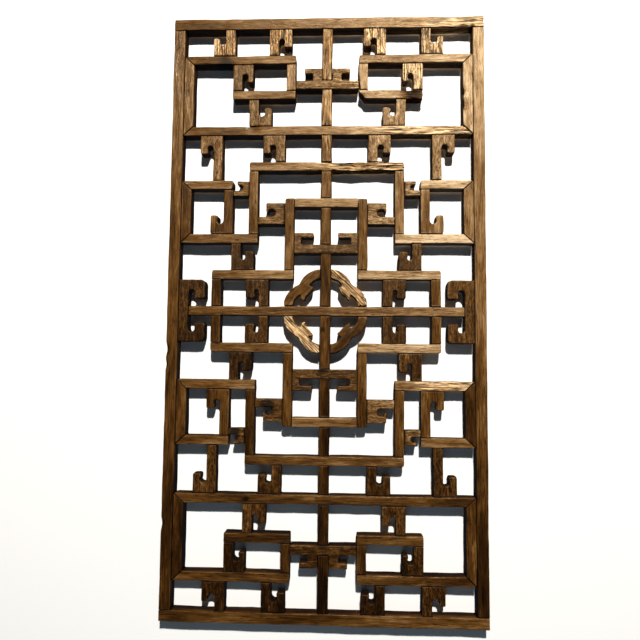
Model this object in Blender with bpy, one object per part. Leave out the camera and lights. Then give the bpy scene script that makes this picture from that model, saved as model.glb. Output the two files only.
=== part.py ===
"""Wooden lattice panel of a window: a fretwork of squared bars and small squared scrolls in a plain frame.

The pattern mirrors left to right and top to bottom, so everything is drawn once, in the upper right quarter,
as outlines measured across (u) and up (v) from the panel's centre, and is then mirrored. An outline is cut
straight through the panel's depth. The front faces -Y, the back lies in the plane Y = 0, and the origin is
the middle of the top rail's back, where the panel is hung.
"""

import math

import bmesh
import bpy

# Overall sizes, in metres
PANEL_WIDTH = 0.500
PANEL_HEIGHT = 0.953
DEPTH = 0.025
JOINT_GAP = 0.0003

# Faces of the frame and the bars, as seen from the front
RAIL_FACE = 0.0175
STILE_FACE = 0.0180
STRIP_FACE = 0.0155
BAR_FACE = 0.0148
POST_FACE = 0.0150
MULLION_FACE = 0.0160
CENTRE_RAIL_FACE = 0.0148
BAR_END_ROUND = 0.0030

# Clear widths that set the pattern out from the centre
MESH_LIGHT = 0.0427
LINK_WIDTH = 0.0252
BELT_POST_INSET = 0.0362
BOX_DROP = 0.0150
INNER_CROSSBAR_LIFT = 0.0258
HEAD_CROSSBAR_LIFT = 0.0016

# The common scroll: a stem, a head turned over at a right angle, and a tip that comes back beside a slot
STEM_FACE = 0.0152
SLOT_WIDTH = 0.0080
TIP_FACE = 0.0130
HEAD_FACE = 0.0160
TIP_LENGTH = 0.0300
EYE_SWELL = 0.0016
NIB_ROUND = 0.0035
TIP_ROUND = 0.0022
HEAD_ROUND = 0.0020

# Scrolls whose slot or tip differs from the common one
OPEN_SLOT_WIDTH = 0.0105
OPEN_HEAD_FACE = 0.0185
SLIM_TIP_FACE = 0.0095
CLOSE_SLOT_WIDTH = 0.0055
BROAD_TIP_FACE = 0.0155
BRACKET_TIP_FACE = 0.0175
BRACKET_REST_SLOT = 0.0090
BRACKET_HALF_LENGTH = 0.0492
BRACKET_ROUND = 0.0060
BELT_TIP_ROUND = 0.0070

# Where scrolls stand along their bars, measured from the face of the nearest post
OUTER_TOP_HOOK_SET = 0.0993
INNER_TOP_HOOK_SET = 0.0433
LOWER_HOOK_SET = 0.0743
SCROLL_BAR_LENGTH = 0.1020
ARCH_HOOK_SET = 0.0003
TALL_HOOK_SET = 0.0184
BELT_HOOK_SET = 0.0843
DOUBLE_HOOK_SET = 0.0243

# Bridging scrolls beside the inner posts, and the smaller links beside the arch posts
BRIDGE_LIFT = 0.0147
BRIDGE_ARM = 0.0130
BRIDGE_RISE = 0.0222
BRIDGE_HEAD = 0.0105
BRIDGE_REACH = 0.0300
BRIDGE_NIB_DROP = 0.0050
LINK_DROP = 0.0020
LINK_ARM = 0.0095
LINK_RISE = 0.0145
LINK_STEM = 0.0092
LINK_HEAD = 0.0055
LINK_REACH = 0.0186
SMALL_NIB = 0.0035
NOTCH_ROUND = 0.0045

# Wings carved on the crossbars
HEAD_WING_STEM = 0.0150
HEAD_WING_REACH = 0.0285
HEAD_WING_RISE = 0.0200
HEAD_WING_ARM = 0.0090
INNER_WING_STEM = 0.0112
INNER_WING_REACH = 0.0312
INNER_WING_RISE = 0.0188
INNER_WING_ARM = 0.0080

# Carved ring
RING_LOBE_ACROSS = 0.0075
RING_LOBE_UP = 0.0300
RING_LOBE_RADIUS = 0.0361
RING_THICKNESS = 0.0150
CLOUD_DEPTH = 0.0375
CLOUD_CURL_REACH = 0.0200
CLOUD_CURL_TOP = 0.0385
CLOUD_CURL_FACE = 0.0058
CLOUD_EYE_RADIUS = 0.0022

# Levels, up from the centre
HALF_HEIGHT = PANEL_HEIGHT / 2
RAIL_LOW = HALF_HEIGHT - RAIL_FACE
CENTRE_HIGH = CENTRE_RAIL_FACE / 2
BELT_LOW = CENTRE_HIGH + MESH_LIGHT
BELT_HIGH = BELT_LOW + BAR_FACE
STEP_LOW = BELT_HIGH + MESH_LIGHT
STEP_HIGH = STEP_LOW + BAR_FACE
INNER_LOW = STEP_HIGH + MESH_LIGHT
INNER_HIGH = INNER_LOW + BAR_FACE
UPPER_LIGHT = (RAIL_LOW - INNER_HIGH - 4 * BAR_FACE) / 5
ARCH_LOW = INNER_HIGH + UPPER_LIGHT
ARCH_HIGH = ARCH_LOW + BAR_FACE
CROSS_LOW = ARCH_HIGH + UPPER_LIGHT
CROSS_HIGH = CROSS_LOW + BAR_FACE
SCROLL_LOW = CROSS_HIGH + UPPER_LIGHT
SCROLL_HIGH = SCROLL_LOW + BAR_FACE
CORNER_LOW = SCROLL_HIGH + UPPER_LIGHT
CORNER_HIGH = CORNER_LOW + BAR_FACE
BOX_HIGH = ARCH_LOW - BOX_DROP
BOX_LOW = BOX_HIGH - BAR_FACE
INNER_CROSSBAR_LOW = BELT_HIGH + INNER_CROSSBAR_LIFT
HEAD_CROSSBAR_LOW = SCROLL_HIGH + HEAD_CROSSBAR_LIFT

# Lines, out from the centre
HALF_WIDTH = PANEL_WIDTH / 2
STILE_IN = HALF_WIDTH - STILE_FACE
EDGE = STILE_IN - JOINT_GAP
STRIP_IN = EDGE - STRIP_FACE
MULLION_OUT = MULLION_FACE / 2
INNER_POST_IN = MULLION_OUT + MESH_LIGHT
INNER_POST_OUT = INNER_POST_IN + POST_FACE
ARCH_POST_IN = INNER_POST_OUT + MESH_LIGHT
ARCH_POST_OUT = ARCH_POST_IN + POST_FACE
BOX_POST_IN = ARCH_POST_OUT + LINK_WIDTH
BELT_POST_OUT = STRIP_IN - BELT_POST_INSET
BELT_POST_IN = BELT_POST_OUT - POST_FACE
DOUBLE_HOOK_BACK = INNER_POST_OUT + DOUBLE_HOOK_SET
BRACKET_FACE_IN = EDGE - STEM_FACE

LAP_PLANE = -DEPTH / 2
CENTRE_Z = -(PANEL_HEIGHT - RAIL_FACE) / 2
MITRE_GAP = JOINT_GAP * math.sqrt(2)
PAST = 0.002

WOOD_LOOKS = {
    "frame_wood": ((0.235, 0.120, 0.048, 1.0), 0.46),
    "bar_wood": ((0.270, 0.140, 0.058, 1.0), 0.50),
    "scroll_wood": ((0.205, 0.102, 0.042, 1.0), 0.52),
    "ring_wood": ((0.300, 0.165, 0.075, 1.0), 0.58),
}


def clear_scene():
    """Removes whatever the scene starts with."""
    for old in list(bpy.data.objects):
        bpy.data.objects.remove(old)


def make_woods():
    """One plain wood for each kind of piece."""
    woods = {}
    for name, (colour, roughness) in WOOD_LOOKS.items():
        wood = bpy.data.materials.new(name)
        wood.use_nodes = True
        shader = wood.node_tree.nodes["Principled BSDF"]
        shader.inputs["Base Color"].default_value = colour
        shader.inputs["Roughness"].default_value = roughness
        shader.inputs["Metallic"].default_value = 0.0
        woods[name] = wood
    return woods


def arc(across, up, radius, start, end, steps):
    """Points on a circle, from one angle to another, in degrees."""
    points = []
    for step in range(steps + 1):
        angle = math.radians(start + (end - start) * step / steps)
        points.append((across + radius * math.cos(angle), up + radius * math.sin(angle)))
    return points


def placed(points, across, up, turn_across, turn_up):
    """Moves local points to their place. A turn of -1 mirrors that direction."""
    return [(across + turn_across * x, up + turn_up * y) for x, y in points]


def scroll_tip(rise, stem=STEM_FACE, slot=SLOT_WIDTH, tip=TIP_FACE, head=HEAD_FACE,
               tip_length=TIP_LENGTH, swell=EYE_SWELL, tip_round=TIP_ROUND, head_round=0.0):
    """The slot side of a scroll, from its stem's open end to the outer corner of its head.

    Across runs from the stem's back towards the tip, and up from the stem's open end to the head.
    """
    reach = stem + slot + tip
    eye_radius = min(slot + swell, slot + tip / 2) / 2
    eye_up = rise - head - eye_radius
    tip_end = rise - tip_length
    nib = min(NIB_ROUND, tip / 2)
    outer = min(tip_round, tip / 2)
    points = [(stem, 0.0)]
    points += arc(stem + eye_radius, eye_up, eye_radius, 180, -30, 7)
    points += arc(stem + slot + nib, tip_end + nib, nib, 180, 270, 3)
    points += arc(reach - outer, tip_end + outer, outer, 270, 360, 3)
    if head_round > 0:
        points += arc(reach - head_round, rise - head_round, head_round, 0, 90, 2)
    else:
        points += [(reach, rise)]
    return points


def back(rise):
    """The plain back of a scroll's stem, from its head down to its open end."""
    return [(0.0, rise), (0.0, 0.0)]


def small_curl(stem, reach, rise, head, nib_drop=0.0):
    """The open side of a small curl: a notch with a round end under an arm, which may end in a nib."""
    notch = rise - head
    bend = min(NOTCH_ROUND, notch / 2)
    points = arc(stem + bend, bend, bend, 270, 180, 3)
    points += arc(stem + bend, notch - bend, bend, 180, 90, 3)
    if nib_drop > 0:
        points += [(reach - SMALL_NIB, notch), (reach - SMALL_NIB, notch - nib_drop)]
    points += [(reach, notch - nib_drop), (reach, rise)]
    return points


def wing(stem, reach, rise, arm):
    """A small arm on a short stem, from the stem's foot on its open side round to the back of its foot."""
    return [(stem, 0.0), (stem, rise - arm), (reach, rise - arm), (reach, rise), (0.0, rise), (0.0, 0.0)]


def mirrored_pair(points):
    """Closes an outline that is drawn for one side of the centre line with its mirror image."""
    return points + [(-across, up) for across, up in reversed(points)]


def solid(name, outline, wood, side=1, level=1, front=-DEPTH, rear=0.0):
    """Cuts an outline through the panel's depth as one named solid, mirrored by side and level."""
    shape = bmesh.new()
    corners = [shape.verts.new((side * across, front, CENTRE_Z + level * up)) for across, up in outline]
    bmesh.ops.remove_doubles(shape, verts=corners, dist=0.00005)
    face = shape.faces.new(shape.verts)
    extruded = bmesh.ops.extrude_face_region(shape, geom=[face])["geom"]
    moved = [part for part in extruded if isinstance(part, bmesh.types.BMVert)]
    bmesh.ops.translate(shape, verts=moved, vec=(0.0, rear - front, 0.0))
    bmesh.ops.recalc_face_normals(shape, faces=shape.faces)
    mesh = bpy.data.meshes.new(name)
    shape.to_mesh(mesh)
    shape.free()
    mesh.materials.append(wood)
    made = bpy.data.objects.new(name, mesh)
    bpy.context.scene.collection.objects.link(made)
    return made


def lap(bar, across, up, front, rear):
    """Cuts a lap across a bar. The two ranges are measured from the centre of the panel."""
    corners = [(across[0], up[0]), (across[1], up[0]), (across[1], up[1]), (across[0], up[1])]
    cutter = solid(bar.name + "_lap", corners, bar.data.materials[0], front=front, rear=rear)
    cut = bar.modifiers.new("lap", "BOOLEAN")
    cut.operation = "DIFFERENCE"
    cut.solver = "EXACT"
    cut.object = cutter
    bpy.context.view_layer.objects.active = bar
    bpy.ops.object.modifier_apply(modifier=cut.name)
    bpy.data.objects.remove(cutter)


def back_lap(bar, inner, outer, low, high):
    """Lets an upright bar, from inner to outer, pass behind a level one."""
    lap(bar, (inner - JOINT_GAP, outer + JOINT_GAP), (low - PAST, high + PAST),
        LAP_PLANE - JOINT_GAP / 2, PAST)


def front_lap(bar, low, high, inner, outer):
    """Lets a level bar, from low to high, pass in front of an upright one."""
    lap(bar, (inner - PAST, outer + PAST), (low - JOINT_GAP, high + JOINT_GAP),
        -DEPTH - PAST, LAP_PLANE + JOINT_GAP / 2)


def quarter_name(side, level, name):
    """Names a piece for the quarter of the panel that it stands in."""
    upright = "upper" if level > 0 else "lower"
    across = "right" if side > 0 else "left"
    return f"{upright}_{across}_{name}"


def make_frame(wood):
    """Two rails over the ends of two stiles."""
    rail = [(-HALF_WIDTH, RAIL_LOW), (HALF_WIDTH, RAIL_LOW), (HALF_WIDTH, HALF_HEIGHT), (-HALF_WIDTH, HALF_HEIGHT)]
    stile_end = RAIL_LOW - JOINT_GAP
    stile = [(STILE_IN, -stile_end), (HALF_WIDTH, -stile_end), (HALF_WIDTH, stile_end), (STILE_IN, stile_end)]
    solid("top_rail", rail, wood)
    solid("bottom_rail", rail, wood, level=-1)
    solid("right_stile", stile, wood)
    solid("left_stile", stile, wood, side=-1)


def make_mullion(wood):
    """The upright on the centre line, let in behind every level bar that crosses it."""
    end = RAIL_LOW - JOINT_GAP
    outline = [(-MULLION_OUT, -end), (MULLION_OUT, -end), (MULLION_OUT, end), (-MULLION_OUT, end)]
    mullion = solid("mullion", outline, wood)
    front_lap(mullion, -CENTRE_HIGH, CENTRE_HIGH, -MULLION_OUT, MULLION_OUT)
    for low in (INNER_CROSSBAR_LOW, INNER_LOW, ARCH_LOW, CROSS_LOW, HEAD_CROSSBAR_LOW):
        front_lap(mullion, low, low + BAR_FACE, -MULLION_OUT, MULLION_OUT)
        front_lap(mullion, -low - BAR_FACE, -low, -MULLION_OUT, MULLION_OUT)


def make_centre_rail(wood):
    """The level bar on the centre line, in front of the uprights that it crosses."""
    end = BRACKET_FACE_IN - JOINT_GAP
    outline = [(-end, -CENTRE_HIGH), (end, -CENTRE_HIGH), (end, CENTRE_HIGH), (-end, CENTRE_HIGH)]
    rail = solid("centre_rail", outline, wood)
    back_lap(rail, -MULLION_OUT, MULLION_OUT, -CENTRE_HIGH, CENTRE_HIGH)
    for inner, outer in ((DOUBLE_HOOK_BACK, DOUBLE_HOOK_BACK + STEM_FACE), (BELT_POST_IN, BELT_POST_OUT)):
        back_lap(rail, inner, outer, -CENTRE_HIGH, CENTRE_HIGH)
        back_lap(rail, -outer, -inner, -CENTRE_HIGH, CENTRE_HIGH)


def make_level_bar(name, outline, low, wood, level):
    """A bar that runs across both halves, with a lap for the mullion."""
    bar = solid(name, mirrored_pair(outline), wood, level=level)
    ends = sorted((level * low, level * (low + BAR_FACE)))
    back_lap(bar, -MULLION_OUT, MULLION_OUT, ends[0], ends[1])


def make_cross_rail(wood, level, word):
    """A long bar from stile to stile, its ends mitred to the corner strips."""
    outline = [(EDGE, CROSS_LOW), (STRIP_IN, CROSS_HIGH)]
    make_level_bar(word + "_cross_rail", outline, CROSS_LOW, wood, level)


def make_arch_bar(wood, level, word):
    """The level bar of a middle arch, with a hook standing on each side of the mullion."""
    rise = CROSS_LOW - JOINT_GAP - ARCH_HIGH
    hook_back = INNER_POST_OUT + ARCH_HOOK_SET
    hook = placed(scroll_tip(rise) + back(rise), hook_back, ARCH_HIGH, 1, 1)
    end = arc(ARCH_POST_OUT - BAR_END_ROUND, ARCH_HIGH - BAR_END_ROUND, BAR_END_ROUND, 0, 90, 3)
    outline = [(ARCH_POST_OUT, ARCH_LOW)] + end + hook
    make_level_bar(word + "_arch_bar", outline, ARCH_LOW, wood, level)


def make_inner_bar(wood, level, word):
    """The level bar between the inner posts."""
    end = INNER_POST_IN - JOINT_GAP
    make_level_bar(word + "_inner_bar", [(end, INNER_LOW), (end, INNER_HIGH)], INNER_LOW, wood, level)


def make_head_crossbar(wood, level, word):
    """A short bar between the corner scrolls, with a wing on each side of the mullion."""
    end = INNER_POST_IN - JOINT_GAP
    top = HEAD_CROSSBAR_LOW + BAR_FACE
    shape = wing(HEAD_WING_STEM, HEAD_WING_REACH, HEAD_WING_RISE, HEAD_WING_ARM)
    outline = [(end, HEAD_CROSSBAR_LOW), (end, top)] + placed(shape, MULLION_OUT + JOINT_GAP, top, 1, 1)
    make_level_bar(word + "_head_crossbar", outline, HEAD_CROSSBAR_LOW, wood, level)


def make_inner_crossbar(wood, level, word):
    """A short bar between the inner posts, with a wing at each end."""
    end = INNER_POST_IN - JOINT_GAP
    top = INNER_CROSSBAR_LOW + BAR_FACE
    shape = wing(INNER_WING_STEM, INNER_WING_REACH, INNER_WING_RISE, INNER_WING_ARM)
    outline = [(end, INNER_CROSSBAR_LOW)] + placed(list(reversed(shape)), end, top, -1, 1)
    make_level_bar(word + "_inner_crossbar", outline, INNER_CROSSBAR_LOW, wood, level)


def make_corner_scroll(wood, side, level):
    """A squared spiral in the corner, with two hooks above it and one below."""
    top_rise = RAIL_LOW - JOINT_GAP - CORNER_HIGH
    box_rise = CORNER_LOW - JOINT_GAP - SCROLL_HIGH
    low_rise = SCROLL_LOW - CROSS_HIGH - JOINT_GAP
    bar_end = INNER_POST_IN + SCROLL_BAR_LENGTH
    outer_tip = scroll_tip(top_rise, slot=OPEN_SLOT_WIDTH, tip=SLIM_TIP_FACE, head=OPEN_HEAD_FACE, swell=0.0)
    outer_hook = placed(outer_tip + back(top_rise), INNER_POST_IN + OUTER_TOP_HOOK_SET, RAIL_LOW - JOINT_GAP, 1, -1)
    inner_hook = placed(scroll_tip(top_rise) + back(top_rise), INNER_POST_IN + INNER_TOP_HOOK_SET, CORNER_HIGH, -1, 1)
    box_tip = scroll_tip(box_rise, tip=SLIM_TIP_FACE)
    box_hook = placed(box_tip + back(box_rise), bar_end, SCROLL_HIGH, -1, 1)
    low_hook = placed(scroll_tip(low_rise) + back(low_rise), INNER_POST_IN + LOWER_HOOK_SET, SCROLL_LOW, -1, -1)
    # The outline runs inwards along the top, round the spiral, and back out under the outer bar
    outline = [(EDGE, CORNER_HIGH)]
    outline += list(reversed(outer_hook[:-2])) + list(reversed(outer_hook[-2:]))
    outline += list(reversed(inner_hook))
    outline += arc(INNER_POST_IN + BAR_END_ROUND, CORNER_HIGH - BAR_END_ROUND, BAR_END_ROUND, 90, 180, 3)
    outline += [(INNER_POST_IN, SCROLL_LOW)]
    outline += low_hook
    outline += [(bar_end, SCROLL_LOW)]
    outline += list(reversed(box_hook))
    outline += [(INNER_POST_OUT, SCROLL_HIGH), (INNER_POST_OUT, CORNER_LOW), (STRIP_IN, CORNER_LOW)]
    solid(quarter_name(side, level, "corner_scroll"), outline, wood, side, level)


def make_strips(wood, side, level):
    """The two strips along a stile, mitred to the bars above and below them."""
    corner = [
        (EDGE, CROSS_LOW + MITRE_GAP), (EDGE, CORNER_HIGH - MITRE_GAP),
        (STRIP_IN, CORNER_LOW - MITRE_GAP), (STRIP_IN, CROSS_HIGH + MITRE_GAP)]
    box = [
        (EDGE, STEP_LOW + MITRE_GAP), (EDGE, BOX_HIGH - MITRE_GAP),
        (STRIP_IN, BOX_LOW - MITRE_GAP), (STRIP_IN, STEP_HIGH + MITRE_GAP)]
    solid(quarter_name(side, level, "corner_strip"), corner, wood, side, level)
    solid(quarter_name(side, level, "box_strip"), box, wood, side, level)


def make_side_box(wood, side, level):
    """A side box: its mitred bar, its post with a hooked foot, and the tall hook that stands on the bar."""
    tall_rise = CROSS_LOW - JOINT_GAP - BOX_HIGH
    foot_rise = BOX_LOW - STEP_HIGH - JOINT_GAP
    tall_back = BOX_POST_IN + TALL_HOOK_SET
    tall_hook = placed(scroll_tip(tall_rise) + back(tall_rise), tall_back, BOX_HIGH, 1, 1)
    foot_tip = scroll_tip(foot_rise, stem=POST_FACE, head_round=HEAD_ROUND)
    foot = placed(foot_tip + back(foot_rise), BOX_POST_IN, BOX_LOW, 1, -1)
    outline = [(EDGE, BOX_HIGH)] + tall_hook
    outline += [(BOX_POST_IN, BOX_HIGH)]
    outline += list(reversed(foot))
    outline += [(STRIP_IN, BOX_LOW)]
    solid(quarter_name(side, level, "side_box"), outline, wood, side, level)


def make_step_bar(wood, side, level):
    """The bar under a side box, from the arch post to its mitre at the strip."""
    outline = [(ARCH_POST_IN, STEP_LOW), (EDGE, STEP_LOW), (STRIP_IN, STEP_HIGH), (ARCH_POST_IN, STEP_HIGH)]
    solid(quarter_name(side, level, "step_bar"), outline, wood, side, level)


def make_arch_post(wood, side, level):
    """The post of a middle arch, with the small link scroll on its outer face."""
    foot = STEP_HIGH + JOINT_GAP
    top = ARCH_LOW - JOINT_GAP
    arm_high = BOX_HIGH - LINK_DROP - LINK_RISE
    arm_low = arm_high - LINK_ARM
    arm_end = BOX_POST_IN - JOINT_GAP
    curl = small_curl(LINK_STEM, LINK_REACH, LINK_RISE, LINK_HEAD)
    outline = [(ARCH_POST_IN, foot), (ARCH_POST_OUT, foot)]
    outline += [(ARCH_POST_OUT, arm_low), (arm_end, arm_low), (arm_end, arm_high)]
    outline += placed(curl, ARCH_POST_OUT, arm_high, 1, 1)
    outline += [(ARCH_POST_OUT, arm_high + LINK_RISE), (ARCH_POST_OUT, top), (ARCH_POST_IN, top)]
    solid(quarter_name(side, level, "arch_post"), outline, wood, side, level)


def make_inner_post(wood, side, level):
    """The post of an inner box, with the bridging scroll that reaches the arch post."""
    foot = BELT_HIGH + JOINT_GAP
    arm_low = STEP_HIGH + BRIDGE_LIFT
    arm_high = arm_low + BRIDGE_ARM
    arm_end = ARCH_POST_IN - JOINT_GAP
    curl = small_curl(STEM_FACE, BRIDGE_REACH, BRIDGE_RISE, BRIDGE_HEAD, BRIDGE_NIB_DROP)
    outline = [(INNER_POST_IN, foot), (INNER_POST_OUT, foot)]
    outline += [(INNER_POST_OUT, arm_low), (arm_end, arm_low), (arm_end, arm_high)]
    outline += placed(curl, INNER_POST_OUT, arm_high, 1, 1)
    outline += [(INNER_POST_OUT, arm_high + BRIDGE_RISE)]
    outline += arc(INNER_POST_OUT - BAR_END_ROUND, INNER_HIGH - BAR_END_ROUND, BAR_END_ROUND, 0, 90, 3)
    outline += [(INNER_POST_IN, INNER_HIGH)]
    solid(quarter_name(side, level, "inner_post"), outline, wood, side, level)


def make_belt_bar(wood, side, level):
    """The bar beside the ring, with one hook that stands up to the step bar."""
    rise = STEP_LOW - JOINT_GAP - BELT_HIGH
    hook_back = INNER_POST_OUT + BELT_HOOK_SET
    tip = scroll_tip(rise, slot=CLOSE_SLOT_WIDTH, tip=BROAD_TIP_FACE, tip_round=BELT_TIP_ROUND)
    hook = placed(tip + back(rise), hook_back, STEP_LOW - JOINT_GAP, -1, -1)
    outline = [(INNER_POST_IN, BELT_LOW), (BELT_POST_OUT, BELT_LOW)]
    outline += arc(BELT_POST_OUT - BAR_END_ROUND, BELT_HIGH - BAR_END_ROUND, BAR_END_ROUND, 0, 90, 3)
    outline += hook[-2:] + hook[:-2]
    outline += [(INNER_POST_IN, BELT_HIGH)]
    solid(quarter_name(side, level, "belt_bar"), outline, wood, side, level)


def make_belt_uprights(wood, side, word):
    """The plain post and the double hook that pass behind the centre rail."""
    end = BELT_LOW - JOINT_GAP
    post_outline = [(BELT_POST_IN, -end), (BELT_POST_OUT, -end), (BELT_POST_OUT, end), (BELT_POST_IN, end)]
    post = solid(word + "_belt_post", post_outline, wood, side)
    half = scroll_tip(end, slot=CLOSE_SLOT_WIDTH, tip=BROAD_TIP_FACE)[1:] + [(0.0, end)]
    whole = [(x, y) for x, y in half] + [(x, -y) for x, y in reversed(half)]
    double_hook = solid(word + "_double_hook", placed(whole, DOUBLE_HOOK_BACK, 0.0, 1, 1), wood, side)
    hook_edges = sorted((side * DOUBLE_HOOK_BACK, side * (DOUBLE_HOOK_BACK + STEM_FACE)))
    post_edges = sorted((side * BELT_POST_IN, side * BELT_POST_OUT))
    front_lap(double_hook, -CENTRE_HIGH, CENTRE_HIGH, hook_edges[0], hook_edges[1])
    front_lap(post, -CENTRE_HIGH, CENTRE_HIGH, post_edges[0], post_edges[1])


def make_side_bracket(wood, side, word):
    """The double hook against a stile that the centre rail runs up to."""
    half = scroll_tip(BRACKET_HALF_LENGTH, slot=BRACKET_REST_SLOT, tip=BRACKET_TIP_FACE,
                      head_round=BRACKET_ROUND)[1:] + [(0.0, BRACKET_HALF_LENGTH)]
    whole = [(x, y) for x, y in half] + [(x, -y) for x, y in reversed(half)]
    solid(word + "_bracket", placed(whole, EDGE, 0.0, -1, 1), wood, side)


def ring_half():
    """One lobe of a ring quarter, from the mullion to the diagonal: its outer edge and its inner edge."""
    start = MULLION_OUT + JOINT_GAP
    inner_radius = RING_LOBE_RADIUS - RING_THICKNESS
    outer_start = math.degrees(math.acos((start - RING_LOBE_ACROSS) / RING_LOBE_RADIUS))
    inner_start = math.degrees(math.acos((start - RING_LOBE_ACROSS) / inner_radius))
    # The lobe ends where it meets the diagonal, and its inner edge where the curl of the cloud begins
    half_chord = (RING_LOBE_UP - RING_LOBE_ACROSS) / math.sqrt(2)
    along = math.sqrt(RING_LOBE_RADIUS ** 2 - half_chord ** 2)
    cusp = (RING_LOBE_ACROSS + RING_LOBE_UP) / 2 + along / math.sqrt(2)
    outer_end = math.degrees(math.atan2(cusp - RING_LOBE_UP, cusp - RING_LOBE_ACROSS))
    inner_end = math.degrees(math.asin((CLOUD_CURL_TOP + CLOUD_EYE_RADIUS - RING_LOBE_UP) / inner_radius))
    outer = arc(RING_LOBE_ACROSS, RING_LOBE_UP, RING_LOBE_RADIUS, outer_start, outer_end, 8)
    inner = arc(RING_LOBE_ACROSS, RING_LOBE_UP, inner_radius, inner_start, inner_end, 5)
    # The curl is a rounded finger that points at the mullion and then falls back to the diagonal
    curl_round = CLOUD_CURL_FACE / 2
    neck = inner[-1][0] - CLOUD_EYE_RADIUS
    inner += arc(neck, CLOUD_CURL_TOP + CLOUD_EYE_RADIUS, CLOUD_EYE_RADIUS, -30, -90, 2)
    inner += arc(CLOUD_CURL_REACH + curl_round, CLOUD_CURL_TOP - curl_round, curl_round, 90, 250, 4)
    diagonal = CLOUD_DEPTH / math.sqrt(2)
    inner += [(diagonal, diagonal)]
    return outer, inner


def make_ring_quarter(wood, side, level):
    """A quarter of the ring: two lobes that meet in a point, with a carved cloud inside the point."""
    outer, inner = ring_half()
    outline = outer + [(up, across) for across, up in reversed(outer[:-1])]
    outline += [(up, across) for across, up in inner]
    outline += list(reversed(inner[:-1]))
    solid(quarter_name(side, level, "ring_quarter"), outline, wood, side, level)


def main():
    clear_scene()
    woods = make_woods()
    make_frame(woods["frame_wood"])
    make_mullion(woods["bar_wood"])
    make_centre_rail(woods["bar_wood"])
    for level, word in ((1, "upper"), (-1, "lower")):
        make_cross_rail(woods["bar_wood"], level, word)
        make_arch_bar(woods["bar_wood"], level, word)
        make_inner_bar(woods["bar_wood"], level, word)
        make_head_crossbar(woods["scroll_wood"], level, word)
        make_inner_crossbar(woods["scroll_wood"], level, word)
    for side, word in ((1, "right"), (-1, "left")):
        make_belt_uprights(woods["scroll_wood"], side, word)
        make_side_bracket(woods["scroll_wood"], side, word)
        for level in (1, -1):
            make_corner_scroll(woods["scroll_wood"], side, level)
            make_strips(woods["bar_wood"], side, level)
            make_side_box(woods["scroll_wood"], side, level)
            make_step_bar(woods["bar_wood"], side, level)
            make_arch_post(woods["bar_wood"], side, level)
            make_inner_post(woods["bar_wood"], side, level)
            make_belt_bar(woods["scroll_wood"], side, level)
            make_ring_quarter(woods["ring_wood"], side, level)


main()
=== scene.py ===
"""Looks of the old wooden lattice panel: every bar, post, hook and ring quarter as its own worn wooden piece.

Each piece starts as its stretch of the frame's solid, cut out at its seams, and then gets rubbed arrises,
uneven faces, open grain, stains and chips; its colour also carries painted shade on the sides of the bars,
and painted highlight on the arrises and towards the right. Places are measured across (u) and up (v) from
the panel's centre, in metres. The front faces -Y.
"""

import math
import random

import bpy
import numpy as np
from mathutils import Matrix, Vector
from mathutils.bvhtree import BVHTree


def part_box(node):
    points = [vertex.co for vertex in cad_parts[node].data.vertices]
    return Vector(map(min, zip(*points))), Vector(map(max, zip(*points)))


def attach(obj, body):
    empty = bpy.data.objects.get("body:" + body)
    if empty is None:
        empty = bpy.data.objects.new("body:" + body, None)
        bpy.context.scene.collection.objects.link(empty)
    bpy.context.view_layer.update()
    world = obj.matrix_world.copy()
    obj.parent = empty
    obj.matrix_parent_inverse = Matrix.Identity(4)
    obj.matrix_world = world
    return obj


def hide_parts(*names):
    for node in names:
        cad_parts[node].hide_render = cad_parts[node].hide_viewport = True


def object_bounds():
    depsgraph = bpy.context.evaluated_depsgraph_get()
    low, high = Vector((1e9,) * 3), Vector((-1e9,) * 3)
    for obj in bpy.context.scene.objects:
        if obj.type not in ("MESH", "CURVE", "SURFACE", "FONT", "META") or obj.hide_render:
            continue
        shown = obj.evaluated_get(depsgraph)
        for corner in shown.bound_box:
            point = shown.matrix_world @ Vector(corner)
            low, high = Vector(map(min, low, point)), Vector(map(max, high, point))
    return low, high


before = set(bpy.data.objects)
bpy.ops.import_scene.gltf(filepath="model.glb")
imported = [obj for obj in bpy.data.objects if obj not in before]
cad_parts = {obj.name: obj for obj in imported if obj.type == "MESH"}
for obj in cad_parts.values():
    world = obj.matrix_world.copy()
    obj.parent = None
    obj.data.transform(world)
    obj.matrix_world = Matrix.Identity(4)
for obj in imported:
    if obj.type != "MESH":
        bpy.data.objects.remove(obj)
cad_box = [list(corner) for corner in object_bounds()]

# Joinery sizes, as in the frame
HAIRLINE = 0.00030
BAR = 0.0148
POST = 0.0150
MULLION_HALF = 0.0080
MESH_LIGHT = 0.0427
LINK = 0.0252
SCROLL_BAR_LENGTH = 0.1020

# Where the two top hooks are parted, and how far the cuts round a hook and a post keep off their neighbours
TOP_HOOKS_PART_SET = 0.075
SCROLL_HOOK_CLEAR = 0.01
BOX_POST_CLEAR = 0.02

# How fine the worn surface is, and how near another piece counts as touching
MERGE_DISTANCE = 0.00002
FLAT_ANGLE = 0.5
VOXEL = 0.00125
ROUNDING_PASSES = 6
ROUNDING_FACTOR = 0.5
KEEP_FACES = 0.55
JOINT_REACH = 0.0010
SEAM_REACH = 0.0013

# The fretwork out of true: sizes and shift of the pattern that sways it across and up, and how far it sways
ACROSS_SWAY = ((0.11, 0.11, 0.11), (0.3, 0.0, 0.1))
UP_SWAY = ((0.09, 0.09, 0.09), (0.7, 0.0, 0.5))
SWAY = 0.0013
SWAY_MIDDLE = 0.5
SET_BACK = 0.035

# Uneven faces and open grain: sizes of the pattern along, across and through the grain, and its depth
UNEVEN_SIZES = (0.030, 0.013, 0.013)
UNEVEN_DEPTH = 0.0010
GROOVE_SIZES = (0.030, 0.0030, 0.0030)
GROOVE_DEPTH = 0.0006
WORN_MIDDLE = 0.62
OPEN_GRAIN_SIZES = (0.040, 0.0036, 0.0036)
OPEN_GRAIN_MIDDLE = 0.64
WEATHER_STEPS = 10

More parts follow.
